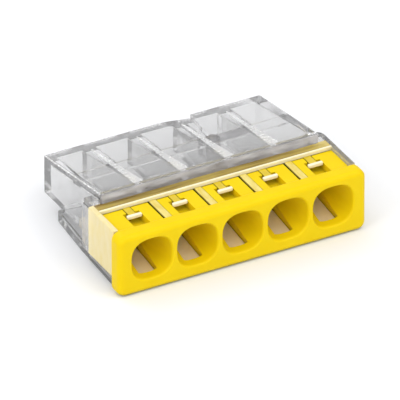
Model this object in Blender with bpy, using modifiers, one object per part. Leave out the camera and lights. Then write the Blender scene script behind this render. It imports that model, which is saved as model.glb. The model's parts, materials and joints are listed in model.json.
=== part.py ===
"""Push-wire splicing connector with five poles.

A clear housing holds an entry insert with five wire funnels, a current bar that joins all the poles, and
one clamping spring for each pole: a fixed leg and a free leaf that presses the wire on the current bar.

Design coordinates: X along the row of poles, Y from the front face (0) to the rear, Z up from the surface
the connector lies on. Every object is placed so that the middle of the depth is at world Y = 0.
"""

import math

import bmesh
import bpy
from mathutils import Matrix, Vector

MM = 0.001

# Driving dimensions
POLES = 5
PITCH = 4.0 * MM
DEPTH = 15.0 * MM
TOP_HEIGHT = 6.25 * MM
GAP = 0.3 * MM

# Entry insert: front plate, funnel block and top panels
PLATE_WIDTH = POLES * PITCH + 1.9 * MM
PLATE_HEIGHT = 5.3 * MM
PLATE_THICKNESS = 1.3 * MM
PLATE_CORNER = 0.6 * MM
PLATE_EDGE = 0.22 * MM
PANEL_TOP = 5.1 * MM
PANEL_END = 4.2 * MM
SHELF_TOP = 4.75 * MM
INSERT_END = 6.2 * MM
INSERT_WIDTH = POLES * PITCH

# Wire funnel
ENTRY_HEIGHT = 2.9 * MM
ENTRY_RADIUS = 1.87 * MM
LEAD_IN = 0.18 * MM
THROAT_RADIUS = 1.17 * MM
THROAT_START = 3.5 * MM
POCKET_START = 3.95 * MM
POCKET_HALF_WIDTH = 1.15 * MM
POCKET_TOP = 4.45 * MM

# Windows and grooves of the top panels
WINDOW_HALF_WIDTH = 0.8 * MM
WINDOW_FLOOR = 4.7 * MM
WINDOW_START = 1.85 * MM
WINDOW_END = 3.7 * MM
GROOVE_DEPTH = 0.8 * MM

# Clear housing
BLOCK_WIDTH = 19.3 * MM
BLOCK_FRONT = 5.4 * MM
REAR_TOP = 4.69 * MM
REAR_BOTTOM = 1.25 * MM
FOOT_END = 12.4 * MM
CHEEK_WIDTH = 21.4 * MM
CHEEK_END = 7.1 * MM
LIP_TOP = 5.35 * MM
LIP_THICKNESS = 0.3 * MM
BASE_WIDTH = 21.0 * MM
REAR_BASE_WIDTH = 20.0 * MM
BASE_HEIGHT = 1.1 * MM
FLOOR = 0.4 * MM
TOP_WALL = 0.7 * MM
SIDE_WALL = 0.5 * MM
REAR_WALL = 0.8 * MM
FOOT_WALL = 0.5 * MM
PARTITION = 0.5 * MM
CHAMBER_DRAFT = 0.35 * MM
RIB_START = 9.1 * MM
RIB_END = 10.5 * MM
RIB_DEPTH = 0.35 * MM
BLOCK_EDGE = 0.3 * MM
BASE_OVERLAP = 0.6 * MM

# Fingers of the housing that lie in the grooves between the top panels
FINGER_OFFSET = 0.35 * MM
FINGER_HALF_WIDTH = 0.3 * MM
FINGER_START = 1.75 * MM
FINGER_ROOT = PANEL_END + 2 * GAP
FINGER_DEPTH = 0.5 * MM
FINGER_GAP = 0.2 * MM

# Tilted recess in the top of the housing, and the moulding gate's post beside it
RECESS_LEFT = 0.5 * MM
RECESS_RIGHT_FRONT = 2.5 * MM
RECESS_RIGHT_REAR = 3.5 * MM
RECESS_START = 10.3 * MM
RECESS_DEPTH = 0.42 * MM
POST_RADIUS = 0.55 * MM
POST_X = 2.7 * MM
POST_Y = 10.1 * MM
POST_BOTTOM = 3.2 * MM

# Latch hooks
HOOK_HALF_WIDTH = 0.5 * MM
HOOK_STEM_HALF_WIDTH = 0.25 * MM
HOOK_START = 2.75 * MM
HOOK_LENGTH = 0.45 * MM
HOOK_TOP = 5.3 * MM

# Current bar
BAR_TOP = 1.65 * MM
BAR_START = INSERT_END + GAP
BAR_END = 9.7 * MM
BAR_WIDTH = (POLES - 1) * PITCH + 1.9 * MM
TONGUE_START = 0.85 * MM
TONGUE_TOP = 1.0 * MM
TONGUE_THICKNESS = 0.3 * MM
TONGUE_HALF_WIDTH = 0.75 * MM

# Clamping spring
STRIP_WIDTH = 1.7 * MM
STRIP_THICKNESS = 0.2 * MM
FOLD_Y = 4.7 * MM
FOLD_Z = 3.72 * MM
FOLD_RADIUS = 0.28 * MM
LEG_END = 6.0 * MM
LEG_RISE = 0.12 * MM
LEAF_LENGTH = 2.9 * MM
LEAF_HINGE_Y = FOLD_Y + GAP
LEAF_HINGE_Z = FOLD_Z - FOLD_RADIUS

OVERSHOOT = 0.5 * MM
WELD = 1e-7
ROUND_SEGMENTS = 32

POLE_CENTRES = [(pole - (POLES - 1) / 2) * PITCH for pole in range(POLES)]
BOUNDARIES = [(pole - (POLES - 2) / 2) * PITCH for pole in range(POLES - 1)]
FINGER_CENTRES = [x + FINGER_OFFSET for x in BOUNDARIES]


def top_at(y):
    """Height of the sloping top of the housing at depth y."""
    slope = (TOP_HEIGHT - REAR_TOP) / (DEPTH - BLOCK_FRONT)
    return TOP_HEIGHT - slope * (y - BLOCK_FRONT)


def ceiling_at(y):
    return top_at(y) - TOP_WALL


def clear_scene():
    for obj in list(bpy.data.objects):
        bpy.data.objects.remove(obj, do_unlink=True)


def new_collection(name):
    collection = bpy.data.collections.new(name)
    bpy.context.scene.collection.children.link(collection)
    return collection


def material(name, colour, roughness, metallic=0.0, transmission=0.0):
    mat = bpy.data.materials.new(name)
    mat.use_nodes = True
    shader = mat.node_tree.nodes["Principled BSDF"]
    shader.inputs["Base Color"].default_value = (*colour, 1.0)
    shader.inputs["Roughness"].default_value = roughness
    shader.inputs["Metallic"].default_value = metallic
    shader.inputs["Transmission Weight"].default_value = transmission
    return mat


def add_object(name, mesh, is_cutter=False):
    obj = bpy.data.objects.new(name, mesh)
    obj.location = (0, -DEPTH / 2, 0)
    if is_cutter:
        cutters.objects.link(obj)
        obj.hide_render = True
        obj.display_type = "WIRE"
    else:
        parts.objects.link(obj)
    return obj


def box(name, x_range, y_range, z_range, is_cutter=False):
    """A cube whose corners are moved to the exact ends of the three ranges, so that shared planes match."""
    shape = bmesh.new()
    bmesh.ops.create_cube(shape, size=1.0)
    for vert in shape.verts:
        vert.co = [ends[coordinate > 0] for ends, coordinate in zip((x_range, y_range, z_range), vert.co)]
    mesh = bpy.data.meshes.new(name)
    shape.to_mesh(mesh)
    shape.free()
    return add_object(name, mesh, is_cutter)


# Each plane turns an outline's own X, Y and extrusion axes to the design axes.
PLANES = {
    "YZ": Matrix(((0, 0, 1), (1, 0, 0), (0, 1, 0))),
    "XZ": Matrix(((1, 0, 0), (0, 0, -1), (0, 1, 0))),
    "XY": Matrix.Identity(3),
}


def extrusion(name, plane, outline, along, is_cutter=False):
    """A flat outline in the named plane, extruded over the range `along` of the third axis."""
    curve = bpy.data.curves.new(name, "CURVE")
    curve.dimensions = "2D"
    curve.fill_mode = "BOTH"
    curve.extrude = (along[1] - along[0]) / 2
    spline = curve.splines.new("POLY")
    spline.points.add(len(outline) - 1)
    for point, (a, b) in zip(spline.points, outline):
        point.co = (a, b, 0, 1)
    spline.use_cyclic_u = True
    guide = bpy.data.objects.new(name + "_outline", curve)
    parts.objects.link(guide)
    bpy.context.view_layer.update()
    mesh = bpy.data.meshes.new_from_object(guide.evaluated_get(bpy.context.evaluated_depsgraph_get()))
    bpy.data.objects.remove(guide)
    axes = PLANES[plane]
    mesh.transform(axes.to_4x4())
    mesh.transform(Matrix.Translation(axes.col[2] * (along[0] + along[1]) / 2))
    shape = bmesh.new()
    shape.from_mesh(mesh)
    bmesh.ops.remove_doubles(shape, verts=shape.verts, dist=WELD)
    bmesh.ops.recalc_face_normals(shape, faces=shape.faces)
    shape.to_mesh(mesh)
    shape.free()
    mesh.name = name
    return add_object(name, mesh, is_cutter)


def turned_cutter(name, profile, centre):
    """A solid of revolution about an axis along Y; the profile is (radius, y) from the rear to the front."""
    mesh = bpy.data.meshes.new(name)
    edges = [(i, i + 1) for i in range(len(profile) - 1)]
    mesh.from_pydata([(radius, 0, y) for radius, y in profile], edges, [])
    obj = add_object(name, mesh, is_cutter=True)
    obj.location = obj.location + Vector(centre)
    obj.rotation_euler = (-math.pi / 2, 0, 0)
    screw = obj.modifiers.new("turn", "SCREW")
    screw.axis = "Z"
    screw.steps = ROUND_SEGMENTS
    screw.render_steps = ROUND_SEGMENTS
    screw.use_merge_vertices = True
    screw.merge_threshold = WELD
    return obj


def strip(name, path, width, thickness):
    """Bent spring strip: a path of (y, z) points pulled out along X and thickened with Solidify."""
    shape = bmesh.new()
    verts = [shape.verts.new((-width / 2, y, z)) for y, z in path]
    edges = [shape.edges.new(pair) for pair in zip(verts, verts[1:])]
    pulled = bmesh.ops.extrude_edge_only(shape, edges=edges)["geom"]
    far_side = [item for item in pulled if isinstance(item, bmesh.types.BMVert)]
    bmesh.ops.translate(shape, vec=(width, 0, 0), verts=far_side)
    mesh = bpy.data.meshes.new(name)
    shape.to_mesh(mesh)
    shape.free()
    obj = add_object(name, mesh)
    solidify = obj.modifiers.new("thickness", "SOLIDIFY")
    solidify.thickness = thickness
    solidify.offset = 0
    solidify.use_even_offset = True
    return obj


def bevel(obj, width, segments=3):
    modifier = obj.modifiers.new("rounded edges", "BEVEL")
    modifier.width = width
    modifier.segments = segments
    modifier.limit_method = "ANGLE"
    modifier.angle_limit = math.radians(40)


def combine(target, other, operation):
    modifier = target.modifiers.new(other.name, "BOOLEAN")
    modifier.operation = operation
    modifier.solver = "EXACT"
    modifier.object = other


def arc(centre, radius, start, end, steps):
    """Points of an arc, with angles in degrees."""
    angles = [math.radians(start + (end - start) * i / steps) for i in range(steps + 1)]
    return [(centre[0] + radius * math.cos(a), centre[1] + radius * math.sin(a)) for a in angles]


def rounded_rectangle(width, height, radius, steps=6):
    """Outline centred on X and standing on Z = 0."""
    right = width / 2 - radius
    top = height - radius
    corners = [((right, radius), -90), ((right, top), 0), ((-right, top), 90), ((-right, radius), 180)]
    return [point for centre, start in corners for point in arc(centre, radius, start, start + 90, steps)]


def around(centre, half_width):
    return (centre - half_width, centre + half_width)


def make_insert():
    """Front plate and funnel block, with the funnels, pockets, windows and grooves cut into them."""
    plate_outline = rounded_rectangle(PLATE_WIDTH, PLATE_HEIGHT, PLATE_CORNER)
    insert = extrusion("entry_insert", "XZ", plate_outline, (-PLATE_THICKNESS, 0))
    bevel(insert, PLATE_EDGE)

    block_bottom = FLOOR + GAP
    inside_plate = PLATE_THICKNESS - GAP
    block_outline = [
        (inside_plate, block_bottom),
        (inside_plate, PANEL_TOP),
        (PANEL_END, PANEL_TOP),
        (PANEL_END, SHELF_TOP),
        (INSERT_END, SHELF_TOP),
        (INSERT_END, block_bottom),
    ]
    block = extrusion("funnel_block", "YZ", block_outline, around(0, INSERT_WIDTH / 2), is_cutter=True)
    combine(insert, block, "UNION")

    funnel = [
        (0, POCKET_START + OVERSHOOT),
        (THROAT_RADIUS, POCKET_START + OVERSHOOT),
        (THROAT_RADIUS, THROAT_START),
        (ENTRY_RADIUS, LEAD_IN),
        (ENTRY_RADIUS + LEAD_IN, 0),
        (ENTRY_RADIUS + LEAD_IN + OVERSHOOT, -OVERSHOOT),
        (0, -OVERSHOOT),
    ]
    slot_half_width = TONGUE_HALF_WIDTH + GAP
    slot_bottom = TONGUE_TOP - TONGUE_THICKNESS - GAP
    stem_slot = HOOK_STEM_HALF_WIDTH + GAP
    for number, x in enumerate(POLE_CENTRES, start=1):
        cuts = [
            turned_cutter(f"funnel_{number}", funnel, (x, 0, ENTRY_HEIGHT)),
            box(
                f"tongue_slot_{number}",
                around(x, slot_half_width),
                (TONGUE_START - GAP, POCKET_START + OVERSHOOT),
                (slot_bottom, ENTRY_HEIGHT - OVERSHOOT),
                is_cutter=True,
            ),
            box(
                f"spring_pocket_{number}",
                around(x, POCKET_HALF_WIDTH),
                (POCKET_START, INSERT_END + OVERSHOOT),
                (block_bottom - OVERSHOOT, POCKET_TOP),
                is_cutter=True,
            ),
            box(
                f"window_{number}",
                around(x, WINDOW_HALF_WIDTH),
                (WINDOW_START, WINDOW_END),
                (WINDOW_FLOOR, PANEL_TOP + OVERSHOOT),
                is_cutter=True,
            ),
            box(
                f"stem_slot_{number}",
                around(x, stem_slot),
                (WINDOW_END - OVERSHOOT, PANEL_END + OVERSHOOT),
                (WINDOW_FLOOR, PANEL_TOP + OVERSHOOT),
                is_cutter=True,
            ),
        ]
        for cutter in cuts:
            combine(insert, cutter, "DIFFERENCE")

    for number, x in enumerate(FINGER_CENTRES, start=1):
        groove = box(
            f"groove_{number}",
            around(x, FINGER_HALF_WIDTH + FINGER_GAP),
            (PLATE_THICKNESS, FINGER_ROOT + FINGER_GAP),
            (PANEL_TOP - GROOVE_DEPTH, PANEL_TOP + OVERSHOOT),
            is_cutter=True,
        )
        combine(insert, groove, "DIFFERENCE")
    return insert


def chamber_outline():
    """Side view of one wire chamber: sloping ceiling with its rib, and the raised floor at the rear."""
    block_inside = BLOCK_FRONT + TOP_WALL
    pocket_inside = INSERT_END - GAP
    rear_inside = DEPTH - REAR_WALL
    foot_inside = FOOT_END - FOOT_WALL
    rear_floor = REAR_BOTTOM + FLOOR
    lip_bottom = LIP_TOP - LIP_THICKNESS
    return [
        (pocket_inside, FLOOR),
        (pocket_inside, lip_bottom),
        (block_inside, lip_bottom),
        (block_inside, ceiling_at(block_inside)),
        (RIB_START, ceiling_at(RIB_START)),
        (RIB_START, ceiling_at(RIB_START) - RIB_DEPTH),
        (RIB_END, ceiling_at(RIB_END) - RIB_DEPTH),
        (RIB_END, ceiling_at(RIB_END)),
        (rear_inside, ceiling_at(rear_inside)),
        (rear_inside, rear_floor),
        (foot_inside, rear_floor),
        (foot_inside, FLOOR),
    ]


def draft(obj, centre, start, end, inset):
    """Moves the sides of a solid in towards its centre plane: not at all at `start`, by `inset` at `end`."""
    for vert in obj.data.vertices:
        share = (vert.co.y - start) / (end - start)
        vert.co.x -= math.copysign(inset * share, vert.co.x - centre)


def add_recess(housing):
    """Recess that deepens to the right and runs out at the rear, and a round post under its front end."""
    open_end = DEPTH + OVERSHOOT
    recess = box(
        "recess",
        (RECESS_LEFT, RECESS_RIGHT_FRONT),
        (RECESS_START, open_end),
        (0, TOP_HEIGHT + OVERSHOOT),
        is_cutter=True,
    )
    for vert in recess.data.vertices:
        is_right = vert.co.x > RECESS_LEFT + OVERSHOOT
        if vert.co.z < OVERSHOOT:
            vert.co.z = top_at(vert.co.y) - is_right * RECESS_DEPTH
        if is_right and vert.co.y > RECESS_START + OVERSHOOT:
            vert.co.x = RECESS_RIGHT_REAR
    combine(housing, recess, "DIFFERENCE")

    post_outline = arc((POST_X, POST_Y), POST_RADIUS, 0, 360, ROUND_SEGMENTS)[:-1]
    post_range = (POST_BOTTOM, ceiling_at(POST_Y) + TOP_WALL / 2)
    post = extrusion("gate_post", "XY", post_outline, post_range, is_cutter=True)
    combine(housing, post, "UNION")


def make_housing():
    """Sloped rear block, front shell with cheeks and lip, base plate, chambers, recess and latch hooks."""
    block_outline = [
        (BLOCK_FRONT, REAR_BOTTOM),
        (BLOCK_FRONT, TOP_HEIGHT),
        (DEPTH, REAR_TOP),
        (DEPTH, REAR_BOTTOM),
    ]
    housing = extrusion("clear_housing", "YZ", block_outline, around(0, BLOCK_WIDTH / 2))
    bevel(housing, BLOCK_EDGE)

    shell_start = PLATE_THICKNESS + GAP
    shell_range = (BASE_HEIGHT, LIP_TOP)
    shell = box("front_shell", around(0, CHEEK_WIDTH / 2), (shell_start, CHEEK_END), shell_range, True)
    bevel(shell, BLOCK_EDGE)
    front_base = box(
        "front_base",
        around(0, BASE_WIDTH / 2),
        (shell_start, CHEEK_END - BLOCK_EDGE),
        (0, BASE_HEIGHT + BASE_OVERLAP),
        is_cutter=True,
    )
    rear_base = box(
        "rear_base",
        around(0, REAR_BASE_WIDTH / 2),
        (BLOCK_FRONT, FOOT_END - BLOCK_EDGE),
        (0, BASE_HEIGHT),
        is_cutter=True,
    )
    foot = box(
        "foot",
        around(0, BLOCK_WIDTH / 2 - BLOCK_EDGE),
        (CHEEK_END, FOOT_END),
        (0, REAR_BOTTOM + BASE_OVERLAP),
        is_cutter=True,
    )
    for solid in (shell, front_base, rear_base, foot):
        combine(housing, solid, "UNION")

    insert_half_width = INSERT_WIDTH / 2 + GAP
    pocket_end = INSERT_END + GAP
    lip_bottom = LIP_TOP - LIP_THICKNESS
    lip_front = PANEL_END + GAP
    pocket = box(
        "insert_pocket", around(0, insert_half_width), (0, pocket_end), (FLOOR, lip_bottom), is_cutter=True
    )
    top_opening = box(
        "top_opening",
        around(0, insert_half_width),
        (0, lip_front),
        (lip_bottom - OVERSHOOT, TOP_HEIGHT),
        is_cutter=True,
    )
    bar_notch = box(
        "bar_notch",
        around(0, BLOCK_WIDTH / 2 - SIDE_WALL),
        (BLOCK_FRONT, BAR_END + GAP),
        (FLOOR, BAR_TOP + GAP),
        is_cutter=True,
    )
    for cutter in (pocket, top_opening, bar_notch):
        combine(housing, cutter, "DIFFERENCE")

    inner_half_width = BLOCK_WIDTH / 2 - SIDE_WALL
    walls = [-inner_half_width - PARTITION / 2, *BOUNDARIES, inner_half_width + PARTITION / 2]
    for number, (left, right) in enumerate(zip(walls, walls[1:]), start=1):
        width_range = (left + PARTITION / 2, right - PARTITION / 2)
        chamber = extrusion(f"chamber_{number}", "YZ", chamber_outline(), width_range, is_cutter=True)
        draft(chamber, (left + right) / 2, INSERT_END, DEPTH, CHAMBER_DRAFT)
        combine(housing, chamber, "DIFFERENCE")

    add_recess(housing)

    hook_range = (lip_bottom, HOOK_TOP)
    bar_end = HOOK_START + HOOK_LENGTH
    stem_start = HOOK_START + HOOK_LENGTH / 2
    for number, x in enumerate(POLE_CENTRES, start=1):
        width = around(x, HOOK_HALF_WIDTH)
        hook_bar = box(f"hook_bar_{number}", width, (HOOK_START, bar_end), hook_range, is_cutter=True)
        stem_width = around(x, HOOK_STEM_HALF_WIDTH)
        stem = box(f"hook_stem_{number}", stem_width, (stem_start, FINGER_ROOT), hook_range, is_cutter=True)
        combine(housing, hook_bar, "UNION")
        combine(housing, stem, "UNION")
    finger_range = (PANEL_TOP - FINGER_DEPTH, PANEL_TOP)
    for number, x in enumerate(FINGER_CENTRES, start=1):
        width = around(x, FINGER_HALF_WIDTH)
        finger = box(f"finger_{number}", width, (FINGER_START, FINGER_ROOT), finger_range, is_cutter=True)
        combine(housing, finger, "UNION")
    return housing


def make_current_bar():
    """Bar across all the poles, with one rising tongue for each wire entry."""
    bar = box("current_bar", around(0, BAR_WIDTH / 2), (BAR_START, BAR_END), (FLOOR + GAP, BAR_TOP))
    overlap = BAR_START + GAP
    outline = [
        (TONGUE_START, TONGUE_TOP - TONGUE_THICKNESS),
        (TONGUE_START, TONGUE_TOP),
        (BAR_START, BAR_TOP),
        (overlap, BAR_TOP),
        (overlap, BAR_TOP - TONGUE_THICKNESS),
        (BAR_START, BAR_TOP - TONGUE_THICKNESS),
    ]
    for number, x in enumerate(POLE_CENTRES, start=1):
        tongue = extrusion(f"tongue_{number}", "YZ", outline, around(x, TONGUE_HALF_WIDTH), is_cutter=True)
        combine(bar, tongue, "UNION")
    return bar


def make_spring_leg(number, x):
    """Fixed leg of a spring: the front fold, then a strip that rises towards the roof of its pocket."""
    path = arc((FOLD_Y, FOLD_Z), FOLD_RADIUS, 270, 90, 8)
    top = FOLD_Z + FOLD_RADIUS
    path.append((LEG_END, top + LEG_RISE))
    leg = strip(f"spring_leg_{number}", path, STRIP_WIDTH, STRIP_THICKNESS)
    leg.location.x = x
    leg.data.shade_smooth()
    leg.data.set_sharp_from_angle(angle=math.radians(35))
    return leg


def make_spring_leaf(number, x):
    """Free leaf of a spring. Its origin is on the hinge axis, at the end of the fold."""
    tip_height = BAR_TOP + GAP + STRIP_THICKNESS / 2
    drop = LEAF_HINGE_Z - tip_height
    reach = math.sqrt(LEAF_LENGTH**2 - drop**2)
    leaf = strip(f"spring_leaf_{number}", [(0, 0), (reach, -drop)], STRIP_WIDTH, STRIP_THICKNESS)
    leaf.location = (x, leaf.location.y + LEAF_HINGE_Y, LEAF_HINGE_Z)
    return leaf


clear_scene()
parts = new_collection("push_wire_connector")
cutters = new_collection("cutters")

clear_plastic = material("clear_plastic", (0.90, 0.91, 0.92), 0.05, transmission=1.0)
yellow_plastic = material("yellow_plastic", (0.95, 0.68, 0.01), 0.35)
tinned_copper = material("tinned_copper", (0.72, 0.60, 0.46), 0.35, metallic=1.0)
spring_steel = material("spring_steel", (0.62, 0.61, 0.58), 0.30, metallic=1.0)

pieces = [
    (make_housing(), clear_plastic),
    (make_insert(), yellow_plastic),
    (make_current_bar(), tinned_copper),
]
for pole_number, pole_x in enumerate(POLE_CENTRES, start=1):
    pieces.append((make_spring_leg(pole_number, pole_x), spring_steel))
    pieces.append((make_spring_leaf(pole_number, pole_x), spring_steel))
for piece, piece_material in pieces:
    piece.data.materials.clear()
    piece.data.materials.append(piece_material)
bpy.context.view_layer.update()
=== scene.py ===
import json
import math

import bmesh
import bpy
from mathutils import Matrix, Vector

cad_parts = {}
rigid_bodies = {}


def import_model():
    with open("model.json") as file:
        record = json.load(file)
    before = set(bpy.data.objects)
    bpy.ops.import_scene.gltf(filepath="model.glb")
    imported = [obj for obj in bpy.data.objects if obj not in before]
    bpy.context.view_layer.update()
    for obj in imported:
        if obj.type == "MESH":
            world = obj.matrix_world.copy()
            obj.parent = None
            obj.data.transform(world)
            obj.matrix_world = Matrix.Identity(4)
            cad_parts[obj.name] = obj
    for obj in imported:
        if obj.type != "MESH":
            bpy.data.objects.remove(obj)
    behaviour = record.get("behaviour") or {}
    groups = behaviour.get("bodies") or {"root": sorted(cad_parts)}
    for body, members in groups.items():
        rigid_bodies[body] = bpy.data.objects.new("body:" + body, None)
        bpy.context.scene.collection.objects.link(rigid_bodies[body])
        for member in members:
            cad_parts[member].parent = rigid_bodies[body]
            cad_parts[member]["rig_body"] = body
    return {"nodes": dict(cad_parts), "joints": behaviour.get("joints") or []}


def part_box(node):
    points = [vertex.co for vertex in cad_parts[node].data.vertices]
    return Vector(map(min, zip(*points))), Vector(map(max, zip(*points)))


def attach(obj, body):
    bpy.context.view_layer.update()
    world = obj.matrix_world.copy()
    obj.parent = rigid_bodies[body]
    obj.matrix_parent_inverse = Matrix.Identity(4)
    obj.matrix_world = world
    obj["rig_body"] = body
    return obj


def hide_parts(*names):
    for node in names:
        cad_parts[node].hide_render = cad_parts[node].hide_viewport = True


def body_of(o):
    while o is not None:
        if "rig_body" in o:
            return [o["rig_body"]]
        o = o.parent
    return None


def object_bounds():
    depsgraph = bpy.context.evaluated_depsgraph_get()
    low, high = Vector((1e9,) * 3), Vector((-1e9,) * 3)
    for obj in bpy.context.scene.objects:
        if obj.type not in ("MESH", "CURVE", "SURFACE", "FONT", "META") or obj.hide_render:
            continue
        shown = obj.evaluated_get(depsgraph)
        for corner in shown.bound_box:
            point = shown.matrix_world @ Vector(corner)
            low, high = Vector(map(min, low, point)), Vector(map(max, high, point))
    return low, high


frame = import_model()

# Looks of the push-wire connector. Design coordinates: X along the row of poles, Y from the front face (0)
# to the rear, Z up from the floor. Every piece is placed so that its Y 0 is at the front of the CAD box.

MM = 0.001

cad_low, cad_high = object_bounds()
insert_low, insert_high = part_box("entry_insert")
_, housing_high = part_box("clear_housing")
bar_low, bar_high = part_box("current_bar")

FRONT = cad_low.y
DEPTH = cad_high.y - cad_low.y
POLE_CENTRES = sorted(joint["pos_m"][0] for joint in frame["joints"])
PITCH = POLE_CENTRES[1] - POLE_CENTRES[0]
BOUNDARIES = [x + PITCH / 2 for x in POLE_CENTRES[:-1]]
OVERSHOOT = 0.5 * MM
WELD = 1e-7
EDGE_ANGLE = 40
CREASE_ANGLE = 32
CORNER_STEPS = 8

# Entry insert
PLATE_WIDTH = insert_high.x - insert_low.x
PLATE_RISE = 0.1 * MM
PLATE_HEIGHT = insert_high.z + PLATE_RISE
PLATE_THICKNESS = 1.38 * MM
PLATE_CORNER = 0.7 * MM
PLATE_FRONT_EDGE = 0.48 * MM
PLATE_REAR_EDGE = 0.22 * MM
PLATE_EDGE_STEPS = 5
PANEL_TOP = 5.1 * MM
PANEL_END = 4.36 * MM
SHELF_TOP = 4.95 * MM
INSERT_END = insert_high.y - FRONT
INSERT_HALF_WIDTH = 10.2 * MM
INSERT_BOTTOM = 0.55 * MM
FLANK_END = 5.5 * MM
FLANK_DEPTH = 0.9 * MM
ENTRY_HEIGHT = 2.9 * MM
FACE_RADIUS = 1.92 * MM
ENTRY_RADIUS = 1.74 * MM
ENTRY_FILLET = 0.3 * MM
ENTRY_FILLET_STEPS = 6
ENTRY_SQUARENESS = 0.7
ENTRY_SEGMENTS = 96
FUNNEL_RINGS = 6
FUNNEL_RING_SPACING = 0.15
THROAT_RADIUS = 1.17 * MM
THROAT_START = 3.5 * MM
POCKET_START = 3.95 * MM
POCKET_HALF_WIDTH = 1.15 * MM
POCKET_TOP = 4.45 * MM
TONGUE_HALF_WIDTH = 0.75 * MM
TONGUE_TOP = 1.0 * MM
TONGUE_SLOT_DEPTH = 0.45 * MM
TONGUE_GAP = 0.06 * MM
WINDOW_HALF_WIDTH = 0.7 * MM
WINDOW_START = 1.5 * MM
WINDOW_END = 3.6 * MM
WINDOW_FLOOR_FRONT = 4.6 * MM
WINDOW_FLOOR_REAR = 4.38 * MM
PANEL_EDGE = 0.06 * MM

# Fingers of the housing between the panels, and the grooves and slots of the insert that they lie in
FINGER_LEFT = 0.02 * MM
FINGER_RIGHT = 0.62 * MM
FINGER_START = 1.5 * MM
FINGER_DEPTH = 0.4 * MM
FINGER_RISE = 0.04 * MM
GROOVE_LEFT = -0.16 * MM
GROOVE_RIGHT = 0.64 * MM
GROOVE_DEPTH = 0.45 * MM
SLOT_WIDTH = 0.19 * MM
SLOT_DEPTH = 1.1 * MM

# Clear housing
TOP_HEIGHT = 6.23 * MM
REAR_TOP = 4.69 * MM
REAR_BOTTOM = 1.25 * MM
BLOCK_HALF_WIDTH = 9.65 * MM
BLOCK_FRONT = 5.4 * MM
BLOCK_EDGE = 0.18 * MM
FOOT_END = 12.4 * MM
FOOT_INSET = 0.2 * MM
FOOT_OVERLAP = 0.6 * MM
CHEEK_HALF_WIDTH = housing_high.x
CHEEK_START = 1.42 * MM
CHEEK_END = 7.0 * MM
CHEEK_CORNER = 0.6 * MM
CHEEK_CORNER_STEPS = 6
CHEEK_EDGE = 0.12 * MM
LIP_TOP = 5.35 * MM
LIP_BOTTOM = 5.08 * MM
LIP_FRONT = 4.42 * MM
BEAD_WIDTH = 0.17 * MM
BEAD_HEIGHT = 0.05 * MM
BEAD_EDGE = 0.04 * MM
BASE_HEIGHT = 1.1 * MM
BASE_OVERLAP = 0.03 * MM
BASE_FRONT_HALF_WIDTH = 10.5 * MM
BASE_MIDDLE_HALF_WIDTH = 10.2 * MM
BASE_REAR_HALF_WIDTH = 9.8 * MM
BASE_MIDDLE = 7.5 * MM
BASE_INSET = 0.05 * MM
BASE_EDGE = 0.12 * MM
BOTTOM_WALL = 0.4 * MM
TOP_WALL = 0.7 * MM
SIDE_WALL = 0.5 * MM
REAR_WALL = 0.8 * MM
FOOT_WALL = 0.5 * MM
BAR_NOTCH_GAP = 0.2 * MM
PARTITION = 0.5 * MM
CHAMBER_OVERLAP = 0.3 * MM
CHAMBER_DRAFT = 0.35 * MM
CHAMBER_EDGE = 0.22 * MM
UPPER_EDGES_FROM = 3.2 * MM
RIB_START = 9.1 * MM
RIB_END = 10.5 * MM
RIB_DEPTH = 0.18 * MM
WELD_LINE_CENTRE = -0.12 * MM
WELD_LINE_FRONT_WIDTH = 0.85 * MM
WELD_LINE_REAR_WIDTH = 0.14 * MM
WELD_LINE_START = 5.8 * MM
WELD_LINE_END = 13.6 * MM
WELD_LINE_HEIGHT = 0.02 * MM
POCKET_GAP = 0.07 * MM
POCKET_HALF = INSERT_HALF_WIDTH + POCKET_GAP

# Recess and gate post
RECESS_LEFT = 0.5 * MM
RECESS_RIGHT_FRONT = 2.5 * MM
RECESS_RIGHT_REAR = 3.5 * MM
RECESS_START = 10.3 * MM
RECESS_DEPTH = 0.42 * MM
POST_RADIUS = 0.7 * MM
POST_X = 2.7 * MM
POST_Y = 10.1 * MM
POST_BOTTOM = 3.2 * MM
POST_SEGMENTS = 48

# Latch hooks
HOOK_HALF_WIDTH = 0.64 * MM
HOOK_STEM_HALF_WIDTH = 0.3 * MM
HOOK_START = 2.85 * MM
HOOK_LENGTH = 0.29 * MM
HOOK_TOP = 5.28 * MM
HOOK_BOTTOM = 4.95 * MM
STEM_GAP = 0.07 * MM
STEM_RISE = 0.01 * MM
STEM_LIFT = 0.05 * MM
STEM_SLOT_CLEARANCE = 0.1 * MM
LATCH_ROOT = LIP_FRONT + 0.3 * MM
LATCH_EDGE = 0.08 * MM

# Finish
# Painted shade in gaps and pockets: ambient occlusion darkens the base colour there
CREVICE_REACH = 0.8 * MM
CREVICE_DARK = 0.15
CREVICE_LIGHT = 0.7
CREVICE_SAMPLES = 8
METAL_EDGE = 0.04 * MM
NOISE_LOW = 0.3
NOISE_HIGH = 0.7

# Parts of a unit normal that tell which way a face points
STRAIGHT = 0.9
HALFWAY = 0.5
TILTED = 0.2

# Camera, floor and light
CAMERA_AZIMUTH = -28.4
CAMERA_ELEVATION = 31.7
CAMERA_DISTANCE = 900 * MM
FRAME_WIDTH = 31.26 * MM
SENSOR_WIDTH = 36.0
AIM = Vector((0.24, 0.04, 1.69)) * MM
CLIP_START = 0.01
CLIP_END = 10
FLOOR_SIZE = 3.0
FLOOR_DROP = 0.01 * MM
SOFTBOX_DISTANCE = 0.4
SOFTBOXES = (
    # name, azimuth and elevation in degrees, side in metres, power in watts
    ("key_softbox", 30, 55, 0.25, 0.41),
    ("front_softbox", -20, 30, 0.25, 0.29),
    ("left_softbox", -80, 35, 0.25, 0.45),
    ("back_softbox", 200, 50, 0.2, 0.22),
)
SKY_LOW = (0.45, 0.45, 0.46)
SKY_HIGH = (0.9, 0.9, 0.9)
SKY_HIGH_FROM = 0.7


# ---------------------------------------------------------------- mesh tools

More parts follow.
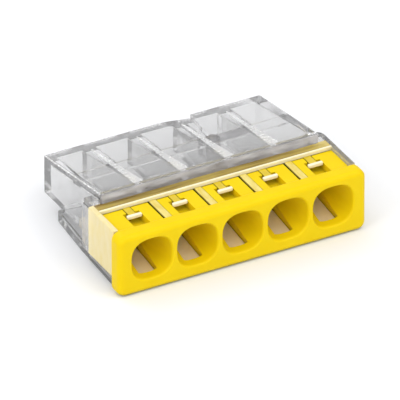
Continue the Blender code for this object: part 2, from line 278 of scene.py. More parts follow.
def top_at(y):
    """Height of the sloping top of the housing at depth y."""
    return TOP_HEIGHT - (TOP_HEIGHT - REAR_TOP) * (y - BLOCK_FRONT) / (DEPTH - BLOCK_FRONT)


def ceiling_at(y):
    """Height of the chambers' ceiling at depth y."""
    return top_at(y) - TOP_WALL


def around(centre, half_width):
    """Range that reaches the half width to both sides."""
    return (centre - half_width, centre + half_width)


def arc(centre, radius, start, end, steps):
    """Points of an arc, with angles in degrees."""
    angles = [math.radians(start + (end - start) * i / steps) for i in range(steps + 1)]
    return [(centre[0] + radius * math.cos(a), centre[1] + radius * math.sin(a)) for a in angles]


def rounded_rectangle(width, height, radius):
    """Outline centred on (0, height / 2)."""
    right = width / 2 - radius
    top = height - radius
    corners = [((right, radius), -90), ((right, top), 0), ((-right, top), 90), ((-right, radius), 180)]
    arcs = [arc(centre, radius, start, start + 90, CORNER_STEPS) for centre, start in corners]
    return [point for corner in arcs for point in corner]


def new_object(name, shape):
    """Turns a bmesh into an object at the design origin, and frees the bmesh."""
    mesh = bpy.data.meshes.new(name)
    shape.to_mesh(mesh)
    shape.free()
    obj = bpy.data.objects.new(name, mesh)
    obj.location = (0, FRONT, 0)
    bpy.context.scene.collection.objects.link(obj)
    return obj


def box(name, x_range, y_range, z_range):
    shape = bmesh.new()
    bmesh.ops.create_cube(shape, size=1.0)
    for vert in shape.verts:
        vert.co = [ends[coordinate > 0] for ends, coordinate in zip((x_range, y_range, z_range), vert.co)]
    return new_object(name, shape)


def loft(name, rings):
    """Closed solid through rings of points of equal count, capped at both ends."""
    shape = bmesh.new()
    loops = [[shape.verts.new(point) for point in ring] for ring in rings]
    count = len(loops[0])
    for near, far in zip(loops, loops[1:]):
        for i in range(count):
            j = (i + 1) % count
            shape.faces.new((near[i], near[j], far[j], far[i]))
    shape.faces.new(loops[0])
    shape.faces.new(loops[-1])
    bmesh.ops.recalc_face_normals(shape, faces=shape.faces)
    return new_object(name, shape)


# Each plane turns an outline's own X, Y and extrusion axes to the design axes.
PLANES = {
    "YZ": Matrix(((0, 0, 1), (1, 0, 0), (0, 1, 0))),
    "XY": Matrix.Identity(3),
}


def extrusion(name, plane, outline, along):
    axes = PLANES[plane]
    rings = [[axes @ Vector((a, b, end)) for a, b in outline] for end in along]
    return loft(name, rings)


def bevel(obj, width, segments=3):
    modifier = obj.modifiers.new("rounded edges", "BEVEL")
    modifier.width = width
    modifier.segments = segments
    modifier.limit_method = "ANGLE"
    modifier.angle_limit = math.radians(EDGE_ANGLE)
    return modifier


def bake_modifiers(obj):
    """Replaces the object's mesh with its modified one."""
    bpy.context.view_layer.update()
    evaluated = obj.evaluated_get(bpy.context.evaluated_depsgraph_get())
    done = bpy.data.meshes.new_from_object(evaluated)
    obj.modifiers.clear()
    obj.data = done


def combine(target, other, operation):
    """Exact boolean, after which the other solid is removed."""
    modifier = target.modifiers.new(other.name, "BOOLEAN")
    modifier.operation = operation
    modifier.solver = "EXACT"
    modifier.object = other
    bake_modifiers(target)
    bpy.data.objects.remove(other)


def smooth(obj):
    """Smooth shading with sharp creases kept, and flat faces kept flat."""
    obj.data.shade_smooth()
    obj.data.set_sharp_from_angle(angle=math.radians(CREASE_ANGLE))
    weighted = obj.modifiers.new("flat faces", "WEIGHTED_NORMAL")
    weighted.keep_sharp = True
    weighted.weight = 100


# ---------------------------------------------------------------- pieces

def make_plate():
    """Front plate: rounded rectangle with a wide rounding at the front and a small one at the rear."""
    rings = []
    for radius, y_start, direction in (
        (PLATE_FRONT_EDGE, 0, 1),
        (PLATE_REAR_EDGE, PLATE_THICKNESS, -1),
    ):
        part = []
        for step in range(PLATE_EDGE_STEPS + 1):
            angle = math.radians(90 * step / PLATE_EDGE_STEPS)
            inset = radius * (1 - math.sin(angle))
            y = y_start + direction * radius * (1 - math.cos(angle))
            width, height = PLATE_WIDTH - 2 * inset, PLATE_HEIGHT - 2 * inset
            outline = rounded_rectangle(width, height, PLATE_CORNER - inset)
            part.append([(x, y, z + inset) for x, z in outline])
        rings += part if direction > 0 else reversed(part)
    return loft("insert_shell", rings)


def funnel_profile():
    """(radius, y) from the rear to the front, with a rounded lead-in."""
    lead_in = []
    for step in range(ENTRY_FILLET_STEPS + 1):
        angle = math.radians(90 * step / ENTRY_FILLET_STEPS)
        radius = FACE_RADIUS - (FACE_RADIUS - ENTRY_RADIUS) * math.sin(angle)
        lead_in.append((radius, ENTRY_FILLET * (1 - math.cos(angle))))
    slope = (ENTRY_RADIUS - THROAT_RADIUS) / (THROAT_START - ENTRY_FILLET)
    profile = [(THROAT_RADIUS, POCKET_START + OVERSHOOT), (THROAT_RADIUS, THROAT_START)]
    for ring in range(1, FUNNEL_RINGS + 1):
        y = THROAT_START + (ENTRY_FILLET - THROAT_START) * FUNNEL_RING_SPACING * ring
        profile.append((ENTRY_RADIUS - slope * (y - ENTRY_FILLET), y))
    profile += list(reversed(lead_in))
    profile.append((FACE_RADIUS, -OVERSHOOT))
    return profile


def entry_squareness(y):
    """Exponent of the entry's outline: slightly squared at the face, round from half the funnel's depth."""
    share = max(0.0, 1 - max(y, 0) / (THROAT_START / 2))
    return 2 + ENTRY_SQUARENESS * share ** 0.5


def make_funnel(x):
    """Cutter for one wire entry, from its face to its throat."""
    rings = []
    for radius, y in funnel_profile():
        power = entry_squareness(y)
        ring = []
        for i in range(ENTRY_SEGMENTS):
            a = 2 * math.pi * i / ENTRY_SEGMENTS
            reach = radius / (abs(math.cos(a)) ** power + abs(math.sin(a)) ** power) ** (1 / power)
            ring.append((x + reach * math.cos(a), y, ENTRY_HEIGHT + reach * math.sin(a)))
        rings.append(ring)
    return loft("funnel", rings)


def make_insert_block():
    """Block behind the plate, with the grooves between its panels and narrower flanks at the rear."""
    inside_plate = PLATE_THICKNESS / 2
    outline = [
        (inside_plate, INSERT_BOTTOM),
        (inside_plate, PANEL_TOP),
        (PANEL_END, PANEL_TOP),
        (PANEL_END, SHELF_TOP),
        (INSERT_END, SHELF_TOP),
        (INSERT_END, INSERT_BOTTOM),
    ]
    block = extrusion("block", "YZ", outline, around(0, INSERT_HALF_WIDTH))
    bevel(block, PANEL_EDGE)
    length_range = (PLATE_THICKNESS - OVERSHOOT, PANEL_END + OVERSHOOT)
    for x in BOUNDARIES:
        left = x + GROOVE_LEFT
        for width_range, depth in (
            ((left + WELD, x + GROOVE_RIGHT), GROOVE_DEPTH),
            ((left, left + SLOT_WIDTH), SLOT_DEPTH),
        ):
            groove = box("groove", width_range, length_range, (PANEL_TOP - depth, PANEL_TOP + OVERSHOOT))
            combine(block, groove, "DIFFERENCE")
    for side in (-1, 1):
        inner, outer = side * (INSERT_HALF_WIDTH - FLANK_DEPTH), side * (INSERT_HALF_WIDTH + OVERSHOOT)
        flank = box("flank", sorted((inner, outer)), (FLANK_END, INSERT_END + OVERSHOOT), (0, PLATE_HEIGHT))
        combine(block, flank, "DIFFERENCE")
    return block


def pole_cutters(x):
    """What is cut from the insert for one pole."""
    window_outline = [
        (WINDOW_START, WINDOW_FLOOR_FRONT),
        (WINDOW_START, PANEL_TOP + OVERSHOOT),
        (WINDOW_END, PANEL_TOP + OVERSHOOT),
        (WINDOW_END, WINDOW_FLOOR_REAR),
    ]
    return [
        make_funnel(x),
        box(
            "tongue_slot",
            around(x, TONGUE_HALF_WIDTH + TONGUE_GAP),
            (bar_low.y - FRONT - TONGUE_GAP, POCKET_START + OVERSHOOT),
            (TONGUE_TOP - TONGUE_SLOT_DEPTH, ENTRY_HEIGHT - OVERSHOOT),
        ),
        box(
            "spring_pocket",
            around(x, POCKET_HALF_WIDTH),
            (POCKET_START, INSERT_END + OVERSHOOT),
            (INSERT_BOTTOM - OVERSHOOT, POCKET_TOP),
        ),
        extrusion("window", "YZ", window_outline, around(x, WINDOW_HALF_WIDTH)),
        box(
            "stem_slot",
            around(x, HOOK_STEM_HALF_WIDTH + STEM_GAP),
            (WINDOW_END - OVERSHOOT, PANEL_END + OVERSHOOT),
            (HOOK_BOTTOM - STEM_SLOT_CLEARANCE, PANEL_TOP + OVERSHOOT),
        ),
    ]


def make_insert():
    insert = make_plate()
    combine(insert, make_insert_block(), "UNION")
    for x in POLE_CENTRES:
        for cutter in pole_cutters(x):
            combine(insert, cutter, "DIFFERENCE")
    smooth(insert)
    return insert


def chamber_outline():
    """Side view of one wire chamber: sloping ceiling with its rib, and the raised floor at the rear."""
    block_inside = BLOCK_FRONT + TOP_WALL
    pocket_inside = INSERT_END - CHAMBER_OVERLAP
    rear_inside = DEPTH - REAR_WALL
    foot_inside = FOOT_END - FOOT_WALL
    rear_floor = REAR_BOTTOM + BOTTOM_WALL
    return [
        (pocket_inside, BOTTOM_WALL),
        (pocket_inside, LIP_BOTTOM),
        (block_inside, LIP_BOTTOM),
        (block_inside, ceiling_at(block_inside)),
        (RIB_START, ceiling_at(RIB_START)),
        (RIB_START, ceiling_at(RIB_START) - RIB_DEPTH),
        (RIB_END, ceiling_at(RIB_END) - RIB_DEPTH),
        (RIB_END, ceiling_at(RIB_END)),
        (rear_inside, ceiling_at(rear_inside)),
        (rear_inside, rear_floor),
        (foot_inside, rear_floor),
        (foot_inside, BOTTOM_WALL),
    ]


def draft(obj, centre, start, end, inset):
    """Moves the sides of a solid in towards its centre plane: not at all at `start`, by `inset` at `end`."""
    for vert in obj.data.vertices:
        share = (vert.co.y - start) / (end - start)
        vert.co.x -= math.copysign(inset * share, vert.co.x - centre)


def round_ceiling(chamber):
    """Rounds only the two upper edges that run from front to rear."""
    weights = chamber.data.attributes.new("bevel_weight_edge", "FLOAT", "EDGE")
    for edge in chamber.data.edges:
        start, end = (chamber.data.vertices[i].co for i in edge.vertices)
        runs_back = abs(start.y - end.y) > abs(start.x - end.x)
        weights.data[edge.index].value = float(runs_back and min(start.z, end.z) > UPPER_EDGES_FROM)
    bevel(chamber, CHAMBER_EDGE).limit_method = "WEIGHT"
    bake_modifiers(chamber)


def make_recess():
    """Cutter for the recess in the top, which gets deeper to the right and wider to the rear."""
    recess = box(
        "recess",
        (RECESS_LEFT, RECESS_RIGHT_FRONT),
        (RECESS_START, DEPTH + OVERSHOOT),
        (0, TOP_HEIGHT + OVERSHOOT),
    )
    for vert in recess.data.vertices:
        is_right = vert.co.x > RECESS_LEFT + OVERSHOOT
        if vert.co.z < OVERSHOOT:
            vert.co.z = top_at(vert.co.y) - is_right * RECESS_DEPTH
        if is_right and vert.co.y > RECESS_START + OVERSHOOT:
            vert.co.x = RECESS_RIGHT_REAR
    return recess


def make_rear_block():
    outline = [
        (BLOCK_FRONT, REAR_BOTTOM),
        (BLOCK_FRONT, TOP_HEIGHT),
        (DEPTH, REAR_TOP),
        (DEPTH, REAR_BOTTOM),
    ]
    block = extrusion("housing_shell", "YZ", outline, around(0, BLOCK_HALF_WIDTH))
    bevel(block, BLOCK_EDGE, segments=4)
    bake_modifiers(block)
    return block


def make_front_shell():
    """Shell round the insert: its sides are the cheeks and its top is the lip."""
    left, right = -CHEEK_HALF_WIDTH, CHEEK_HALF_WIDTH
    rear = CHEEK_END - CHEEK_CORNER
    outline = [(left, CHEEK_START), (right, CHEEK_START)]
    outline += arc((right - CHEEK_CORNER, rear), CHEEK_CORNER, 0, 90, CHEEK_CORNER_STEPS)
    outline += arc((left + CHEEK_CORNER, rear), CHEEK_CORNER, 90, 180, CHEEK_CORNER_STEPS)
    shell = extrusion("shell", "XY", outline, (BASE_HEIGHT, LIP_TOP))
    bevel(shell, CHEEK_EDGE)
    return shell


def make_base():
    """Base plate, which narrows towards the rear."""
    rear = FOOT_END - BASE_INSET
    outline = [
        (-BASE_FRONT_HALF_WIDTH, CHEEK_START),
        (BASE_FRONT_HALF_WIDTH, CHEEK_START),
        (BASE_MIDDLE_HALF_WIDTH, BASE_MIDDLE),
        (BASE_REAR_HALF_WIDTH, rear),
        (-BASE_REAR_HALF_WIDTH, rear),
        (-BASE_MIDDLE_HALF_WIDTH, BASE_MIDDLE),
    ]
    base = extrusion("base", "XY", outline, (0, BASE_HEIGHT + BASE_OVERLAP))
    bevel(base, BASE_EDGE)
    return base


def make_foot():
    """Joins the base to the rear block."""
    return box(
        "foot",
        around(0, BLOCK_HALF_WIDTH - BLOCK_EDGE),
        (CHEEK_END - OVERSHOOT, FOOT_END - FOOT_INSET),
        (BASE_HEIGHT / 2, REAR_BOTTOM + FOOT_OVERLAP),
    )


def housing_cutters():
    """Room for the insert and for the current bar."""
    pocket_length = (0, INSERT_END + POCKET_GAP)
    return [
        box("pocket", around(0, POCKET_HALF), pocket_length, (BOTTOM_WALL, LIP_BOTTOM)),
        box("top_opening", around(0, POCKET_HALF), (0, LIP_FRONT), (LIP_BOTTOM - OVERSHOOT, TOP_HEIGHT)),
        box(
            "bar_notch",
            around(0, BLOCK_HALF_WIDTH - SIDE_WALL),
            (BLOCK_FRONT, bar_high.y - FRONT + BAR_NOTCH_GAP),
            (BOTTOM_WALL, bar_high.z + BAR_NOTCH_GAP),
        ),
    ]


def cut_chambers(housing):
    inner_half_width = BLOCK_HALF_WIDTH - SIDE_WALL
    walls = [-inner_half_width - PARTITION / 2, *BOUNDARIES, inner_half_width + PARTITION / 2]
    for start, end in zip(walls, walls[1:]):
        width_range = (start + PARTITION / 2, end - PARTITION / 2)
        chamber = extrusion("chamber", "YZ", chamber_outline(), width_range)
        draft(chamber, (start + end) / 2, INSERT_END, DEPTH, CHAMBER_DRAFT)
        round_ceiling(chamber)
        combine(housing, chamber, "DIFFERENCE")


def make_gate_post():
    """Round post that hangs from the ceiling of the fourth chamber."""
    outline = arc((POST_X, POST_Y), POST_RADIUS, 0, 360, POST_SEGMENTS)[:-1]
    return extrusion("gate_post", "XY", outline, (POST_BOTTOM, ceiling_at(POST_Y) + TOP_WALL / 2))


def make_lip_bead():
    bead = box(
        "lip_bead",
        around(0, POCKET_HALF + WELD),
        (LIP_FRONT, LIP_FRONT + BEAD_WIDTH),
        (LIP_BOTTOM + BEAD_HEIGHT, LIP_TOP + BEAD_HEIGHT),
    )
    bevel(bead, BEAD_EDGE)
    return bead


def make_weld_line(x):
    """Low ridge on the sloping top over one partition, wider at the front."""
    centre = x + WELD_LINE_CENTRE
    line = box(
        "weld_line",
        around(centre, WELD_LINE_FRONT_WIDTH / 2),
        (WELD_LINE_START, WELD_LINE_END),
        (-TOP_WALL / 2, WELD_LINE_HEIGHT),
    )
    inset = (WELD_LINE_FRONT_WIDTH - WELD_LINE_REAR_WIDTH) / 2
    draft(line, centre, WELD_LINE_START, WELD_LINE_END, inset)
    for vert in line.data.vertices:
        vert.co.z += top_at(vert.co.y)
    bevel(line, WELD_LINE_HEIGHT / 2, segments=2)
    return line


def make_hook(x):
    """Bar of one latch hook, across its window."""
    hook = box(
        "hook",
        around(x, HOOK_HALF_WIDTH),
        (HOOK_START, HOOK_START + HOOK_LENGTH),
        (HOOK_BOTTOM, HOOK_TOP),
    )
    bevel(hook, LATCH_EDGE)
    return hook


def make_stem(x):
    """Stem that holds one hook's bar on the lip."""
    return box(
        "stem",
        around(x, HOOK_STEM_HALF_WIDTH),
        (HOOK_START + HOOK_LENGTH / 2, LATCH_ROOT),
        (HOOK_BOTTOM + STEM_LIFT, PANEL_TOP + STEM_RISE),
    )


def make_finger(x):
    finger = box(
        "finger",
        (x + FINGER_LEFT, x + FINGER_RIGHT),
        (FINGER_START, LATCH_ROOT),
        (PANEL_TOP - FINGER_DEPTH, PANEL_TOP + FINGER_RISE),
    )
    bevel(finger, LATCH_EDGE)
    return finger


def make_housing():
    housing = make_rear_block()
    for solid in (make_front_shell(), make_base(), make_foot()):
        combine(housing, solid, "UNION")
    for cutter in housing_cutters():
        combine(housing, cutter, "DIFFERENCE")
    cut_chambers(housing)
    combine(housing, make_recess(), "DIFFERENCE")
    combine(housing, make_gate_post(), "UNION")
    combine(housing, make_lip_bead(), "UNION")
    for x in BOUNDARIES:
        combine(housing, make_weld_line(x), "UNION")
    for x in POLE_CENTRES:
        combine(housing, make_hook(x), "UNION")
        combine(housing, make_stem(x), "UNION")
    for x in BOUNDARIES:
        combine(housing, make_finger(x), "UNION")
    smooth(housing)
    return housing


# ---------------------------------------------------------------- materials

def new_material(name):
    mat = bpy.data.materials.new(name)
    mat.use_nodes = True
    return mat, mat.node_tree, mat.node_tree.nodes["Principled BSDF"]


def noise(tree, feature_size, detail=3.0, stretch=(1, 1, 1)):
    """Noise in object space whose features are about that size, in metres."""
    coordinates = tree.nodes.new("ShaderNodeTexCoord")
    mapping = tree.nodes.new("ShaderNodeMapping")
    mapping.inputs["Scale"].default_value = [s / feature_size for s in stretch]
    texture = tree.nodes.new("ShaderNodeTexNoise")
    texture.inputs["Scale"].default_value = 1.0
    texture.inputs["Detail"].default_value = detail
    tree.links.new(coordinates.outputs["Object"], mapping.inputs["Vector"])
    tree.links.new(mapping.outputs["Vector"], texture.inputs["Vector"])
    return texture.outputs["Fac"]


def colour_between(tree, factor, low, high, target):
    """Colour that follows a texture between two shades."""
    ramp = tree.nodes.new("ShaderNodeValToRGB")
    ramp.color_ramp.elements[0].position = NOISE_LOW
    ramp.color_ramp.elements[0].color = (*low, 1)
    ramp.color_ramp.elements[1].position = NOISE_HIGH
    ramp.color_ramp.elements[1].color = (*high, 1)
    tree.links.new(factor, ramp.inputs["Fac"])
    tree.links.new(ramp.outputs["Color"], target)


def value_between(tree, factor, low, high, target):
    """Value that follows a texture between two limits."""
    spread = tree.nodes.new("ShaderNodeMapRange")
    spread.inputs["From Min"].default_value = NOISE_LOW
    spread.inputs["From Max"].default_value = NOISE_HIGH
    spread.inputs["To Min"].default_value = low
    spread.inputs["To Max"].default_value = high
    tree.links.new(factor, spread.inputs["Value"])
    tree.links.new(spread.outputs["Result"], target)


def bump(tree, factor, height, target, strength=1.0):
    node = tree.nodes.new("ShaderNodeBump")
    node.inputs["Strength"].default_value = strength
    node.inputs["Distance"].default_value = height
    tree.links.new(factor, node.inputs["Height"])
    tree.links.new(node.outputs["Normal"], target)


def paint_crevice_shade(tree, shade):
    """Mixes painted shade, a darker colour, over the base colour in gaps and narrow pockets, where ambient
    occlusion finds them.
    """
    target = tree.nodes["Principled BSDF"].inputs["Base Color"]
    base = target.links[0].from_socket
    occlusion = tree.nodes.new("ShaderNodeAmbientOcclusion")
    occlusion.inputs["Distance"].default_value = CREVICE_REACH
    occlusion.samples = CREVICE_SAMPLES
    mix = tree.nodes.new("ShaderNodeMix")
    mix.data_type = "RGBA"
    mix.inputs["A"].default_value = (*shade, 1)
    tree.links.new(base, mix.inputs["B"])
    spread = tree.nodes.new("ShaderNodeMapRange")
    spread.inputs["From Min"].default_value = CREVICE_DARK
    spread.inputs["From Max"].default_value = CREVICE_LIGHT
    tree.links.new(occlusion.outputs["AO"], spread.inputs["Value"])
    tree.links.new(spread.outputs["Result"], mix.inputs["Factor"])
    tree.links.new(mix.outputs["Result"], target)


def make_yellow_plastic():
    mat, tree, shader = new_material("yellow_plastic")
    shader.inputs["Specular IOR Level"].default_value = 0.1
    shader.inputs["Subsurface Weight"].default_value = 0.12
    shader.inputs["Subsurface Radius"].default_value = (1.0, 0.55, 0.08)
    shader.inputs["Subsurface Scale"].default_value = 0.5 * MM
    cloud = noise(tree, 2.5 * MM)
    grain = noise(tree, 0.05 * MM, detail=2)
    colour_between(tree, cloud, (0.76, 0.545, 0.002), (0.79, 0.575, 0.004), shader.inputs["Base Color"])
    # Painted shade: the yellow is darkened towards olive in the entries, windows and gaps
    paint_crevice_shade(tree, (0.42, 0.34, 0.012))
    value_between(tree, grain, 0.34, 0.46, shader.inputs["Roughness"])
    bump(tree, grain, 0.003 * MM, shader.inputs["Normal"])
    return mat


def make_clear_plastic(name, transmission, roughness, dark, light, stretch=(1, 1, 1)):
    """Plastic from clear to satin, hazy between two shades, with a slightly wavy surface; in several satin
    materials the two shades are painted light and shade.
    """
    mat, tree, shader = new_material(name)
    shader.inputs["Transmission Weight"].default_value = transmission
    shader.inputs["IOR"].default_value = 1.58
    flow = noise(tree, 1.6 * MM, detail=2, stretch=(1, 0.4, 1))
    haze_and_shade = noise(tree, 0.5 * MM, stretch=stretch)
    colour_between(tree, haze_and_shade, dark, light, shader.inputs["Base Color"])
    value_between(tree, haze_and_shade, roughness, roughness + 0.04, shader.inputs["Roughness"])
    bump(tree, flow, 0.02 * MM, shader.inputs["Normal"], strength=0.2)
    return mat


def make_metal(name, metallic, dark, light, roughness, grain_stretch):
    mat, tree, shader = new_material(name)
    shader.inputs["Metallic"].default_value = metallic
    grain = noise(tree, 0.06 * MM, detail=4, stretch=grain_stretch)
    cloud = noise(tree, 1.2 * MM)
    colour_between(tree, cloud, dark, light, shader.inputs["Base Color"])
    value_between(tree, grain, roughness - 0.08, roughness + 0.08, shader.inputs["Roughness"])
    bump(tree, grain, 0.002 * MM, shader.inputs["Normal"])
    return mat


def make_floor_material():
    mat, tree, shader = new_material("studio_floor")
    shader.inputs["Specular IOR Level"].default_value = 0.1
    shader.inputs["Roughness"].default_value = 0.8
    cloud = noise(tree, 20 * MM)
    colour_between(tree, cloud, (0.83, 0.835, 0.85), (0.85, 0.855, 0.87), shader.inputs["Base Color"])
    return mat


def dress(obj, mat):
    obj.data.materials.clear()
    obj.data.materials.append(mat)


def from_pole(point):
    """Distance across, to the centre of the nearest pole."""
    return min(abs(point.x - x) for x in POLE_CENTRES)


def is_hook(centre, normal):
    """Bars of the hooks, and the bead along the front edge of the lip, which get cream as a painted
    highlight.
    """
    is_lip_front = LIP_FRONT - WELD < centre.y < LIP_FRONT + BEAD_WIDTH + WELD and centre.z > LIP_BOTTOM
    is_bead = is_lip_front and (centre.z > LIP_TOP + WELD or centre.y < LIP_FRONT + BEAD_EDGE)
    is_near_pole = from_pole(centre) < HOOK_HALF_WIDTH + WELD and centre.y < HOOK_START + HOOK_LENGTH + WELD
    return is_bead or (is_near_pole and centre.z > HOOK_BOTTOM - WELD)


def is_stem(centre, normal):
    """Stems of the hooks, up to the lip."""
    is_near_pole = from_pole(centre) < HOOK_STEM_HALF_WIDTH + WELD and centre.y < LIP_FRONT
    return is_near_pole and centre.z > HOOK_BOTTOM - WELD


def is_lip(centre, normal):
    """Top face of the lip, over the insert's shelf; its colour paints the shelf seen through it in shade,
    dark brown to yellow.
    """
    is_over_shelf = LIP_FRONT < centre.y < BLOCK_FRONT and abs(centre.x) < POCKET_HALF
    return is_over_shelf and normal.z > STRAIGHT and centre.z > LIP_BOTTOM


def is_finger(centre, normal):
    """Fingers between the panels, up to the lip: yellow of the insert beneath with a painted highlight, and
    painted shade in the slots beside them.
    """
    is_between = from_pole(centre) > HOOK_HALF_WIDTH and centre.y < LIP_FRONT
    is_inside = abs(centre.x) < INSERT_HALF_WIDTH - OVERSHOOT
    return is_between and is_inside and centre.z > PANEL_TOP - FINGER_DEPTH - WELD


def is_cheek_front(centre, normal):
    """Walls beside the insert, as painted light; the top edge of the right one is left out, as it lies in
    shade.
    """
    is_wall = abs(centre.x) > POCKET_HALF + WELD and (normal.z < HALFWAY or centre.x < 0)
    return is_wall and centre.y < FLANK_END and centre.z > BASE_HEIGHT


def is_step(centre, normal):
    """Front face of the rear block, above the lip; its grey paints the reflection of dark surroundings."""
    return normal.y < -HALFWAY and abs(centre.y - BLOCK_FRONT) < 2 * BLOCK_EDGE and centre.z > LIP_TOP


def is_post(centre, normal):
    """Side and end of the gate post, below the ceiling, painted grey as shade."""
    is_near = math.hypot(centre.x - POST_X, centre.y - POST_Y) < POST_RADIUS + WELD
    return is_near and POST_BOTTOM - WELD < centre.z < ceiling_at(POST_Y)


def is_highlight_streak(centre, normal):
    """Weld lines over the partitions, and the rounded upper edges of the block and its chambers; white
    frosted plastic there is a painted highlight.
    """
    is_rounded = min(abs(normal.x), abs(normal.z)) > TILTED
    is_inside = INSERT_END < centre.y < DEPTH - REAR_WALL
    is_raised = centre.z > top_at(centre.y) + WELD_LINE_HEIGHT / 4
    return is_inside and centre.z > UPPER_EDGES_FROM and (is_rounded or is_raised)


def add_painted_light_places(obj, places):
    """Splits faces that reach beyond a place, then gives each the material of its first place, if any; these
    materials paint light and shade into the housing's colour.
    """
    shape = bmesh.new()
    shape.from_mesh(obj.data)
    for point, normal in (
        ((0, FLANK_END, 0), (0, 1, 0)),
        ((-POCKET_HALF, 0, 0), (1, 0, 0)),
        ((POCKET_HALF, 0, 0), (1, 0, 0)),
    ):
        parts = [*shape.faces, *shape.edges, *shape.verts]
        bmesh.ops.bisect_plane(shape, geom=parts, plane_co=point, plane_no=normal, dist=WELD)
    shape.to_mesh(obj.data)
    shape.free()
    for mat, _ in places:
        obj.data.materials.append(mat)
    for face in obj.data.polygons:
        matches = [index for index, (_, test) in enumerate(places, 1) if test(face.center, face.normal)]
        face.material_index = matches[0] if matches else 0


# ---------------------------------------------------------------- assembly

yellow_plastic = make_yellow_plastic()
clear_plastic = make_clear_plastic(
    "clear_plastic", 0.91, 0.015, (0.95, 0.95, 0.95), (0.98, 0.98, 0.98)
)
# White frosted: painted highlights along the weld lines and the rounded upper edges
highlight_streak_plastic = make_clear_plastic(
    "highlight_streak_plastic", 0.5, 0.25, (0.93, 0.93, 0.93), (0.99, 0.99, 0.98)
)
# Grey: painted dark reflection on the step face and painted shade on the gate post
step_shade_plastic = make_clear_plastic(
    "step_shade_plastic", 0.6, 0.22, (0.33, 0.32, 0.34), (0.62, 0.605, 0.62), stretch=(0.25, 1, 1)
)
# Dark brown to yellow: painted shade of the shelf seen through the lip
lip_shade_plastic = make_clear_plastic(
    "lip_shade_plastic", 0.45, 0.12, (0.22, 0.12, 0.015), (0.86, 0.66, 0.16), stretch=(0.12, 1, 1)
)
stem_plastic = make_clear_plastic(
    "stem_plastic", 0.2, 0.2, (0.76, 0.55, 0.01), (0.82, 0.61, 0.02)
)
# Cream: a painted highlight on the hook bars and the lip's bead
hook_highlight_plastic = make_clear_plastic(
    "hook_highlight_plastic", 0.1, 0.2, (0.98, 0.90, 0.62), (1.0, 0.93, 0.70)
)
# Yellow with a painted cream highlight, for the fingers over the insert's grooves
finger_highlight_plastic = make_clear_plastic(
    "finger_highlight_plastic", 0.15, 0.2, (0.78, 0.58, 0.07), (0.90, 0.76, 0.24), stretch=(1, 0.4, 1)
)
# Cream: painted light on the yellow insert behind the cheek walls, with a painted reflection
cheek_sheen_plastic = make_clear_plastic(
    "cheek_sheen_plastic", 0.3, 0.1, (0.99, 0.82, 0.36), (1.0, 0.86, 0.46), stretch=(1, 1, 0.3)
)
# Painted shade in the gaps round the hook stems
paint_crevice_shade(stem_plastic.node_tree, (0.20, 0.15, 0.01))
# Painted shade, near black, in the slots beside the fingers
paint_crevice_shade(finger_highlight_plastic.node_tree, (0.05, 0.04, 0.01))
# Painted shade in the gaps round the hook bars
paint_crevice_shade(hook_highlight_plastic.node_tree, (0.62, 0.52, 0.20))
tinned_copper = make_metal("tinned_copper", 0.5, (0.96, 0.86, 0.66), (0.99, 0.91, 0.74), 0.5, (1, 0.1, 1))
spring_steel = make_metal("spring_steel", 1.0, (0.60, 0.59, 0.57), (0.70, 0.69, 0.66), 0.30, (1, 0.08, 1))

root_body = body_of(frame["nodes"]["clear_housing"])[0]
insert_shell = make_insert()
dress(insert_shell, yellow_plastic)
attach(insert_shell, root_body)
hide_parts("entry_insert")

housing_shell = make_housing()
dress(housing_shell, clear_plastic)
add_painted_light_places(housing_shell, [
    (hook_highlight_plastic, is_hook),
    (stem_plastic, is_stem),
    (finger_highlight_plastic, is_finger),
    (lip_shade_plastic, is_lip),
    (cheek_sheen_plastic, is_cheek_front),
    (step_shade_plastic, is_step),
    (step_shade_plastic, is_post),
    (highlight_streak_plastic, is_highlight_streak),
])
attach(housing_shell, root_body)
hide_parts("clear_housing")

for name, node in frame["nodes"].items():
    if name == "current_bar" or name.startswith("spring_"):
        dress(node, tinned_copper if name == "current_bar" else spring_steel)
        bevel(node, METAL_EDGE, segments=2)

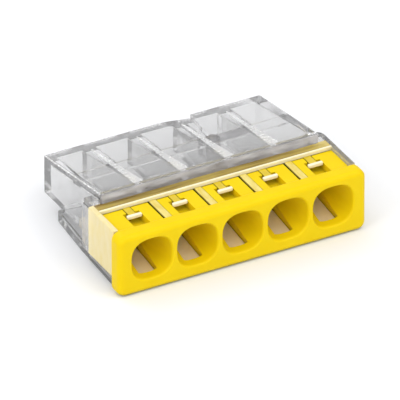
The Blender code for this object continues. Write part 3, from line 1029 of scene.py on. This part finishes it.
# Floor
floor_shape = bmesh.new()
bmesh.ops.create_grid(floor_shape, x_segments=1, y_segments=1, size=FLOOR_SIZE / 2)
studio_floor = new_object("studio_floor", floor_shape)
studio_floor.location = (0, 0, -FLOOR_DROP)
dress(studio_floor, make_floor_material())


# ---------------------------------------------------------------- light and camera

def face_the_aim(obj, azimuth, elevation, distance):
    """Adds a light or the camera to the scene, that far from the aim point and turned to it."""
    a, e = math.radians(azimuth), math.radians(elevation)
    outward = Vector((math.sin(a) * math.cos(e), -math.cos(a) * math.cos(e), math.sin(e)))
    obj.location = AIM + outward * distance
    obj.rotation_mode = "QUATERNION"
    obj.rotation_quaternion = (-outward).to_track_quat("-Z", "Y")
    bpy.context.scene.collection.objects.link(obj)


for name, azimuth, elevation, side, power in SOFTBOXES:
    softbox = bpy.data.lights.new(name, "AREA")
    softbox.shape = "SQUARE"
    softbox.size = side
    softbox.energy = power
    face_the_aim(bpy.data.objects.new(name, softbox), azimuth, elevation, SOFTBOX_DISTANCE)

world = bpy.data.worlds.new("studio")
bpy.context.scene.world = world
world.use_nodes = True
world_nodes, world_links = world.node_tree.nodes, world.node_tree.links
background = world_nodes["Background"]
background.inputs["Strength"].default_value = 1.0
coordinates = world_nodes.new("ShaderNodeTexCoord")
separate = world_nodes.new("ShaderNodeSeparateXYZ")
sky = world_nodes.new("ShaderNodeValToRGB")
sky.color_ramp.elements[0].position = 0.0
sky.color_ramp.elements[0].color = (*SKY_LOW, 1)
sky.color_ramp.elements[1].position = SKY_HIGH_FROM
sky.color_ramp.elements[1].color = (*SKY_HIGH, 1)
world_links.new(coordinates.outputs["Generated"], separate.inputs["Vector"])
world_links.new(separate.outputs["Z"], sky.inputs["Fac"])
world_links.new(sky.outputs["Color"], background.inputs["Color"])

camera_data = bpy.data.cameras.new("camera")
camera_data.sensor_width = SENSOR_WIDTH
camera_data.lens = SENSOR_WIDTH * CAMERA_DISTANCE / FRAME_WIDTH
camera_data.clip_start = CLIP_START
camera_data.clip_end = CLIP_END
camera = bpy.data.objects.new("camera", camera_data)
face_the_aim(camera, CAMERA_AZIMUTH, CAMERA_ELEVATION, CAMERA_DISTANCE)
bpy.context.scene.camera = camera
bpy.context.scene.view_settings.view_transform = "Standard"
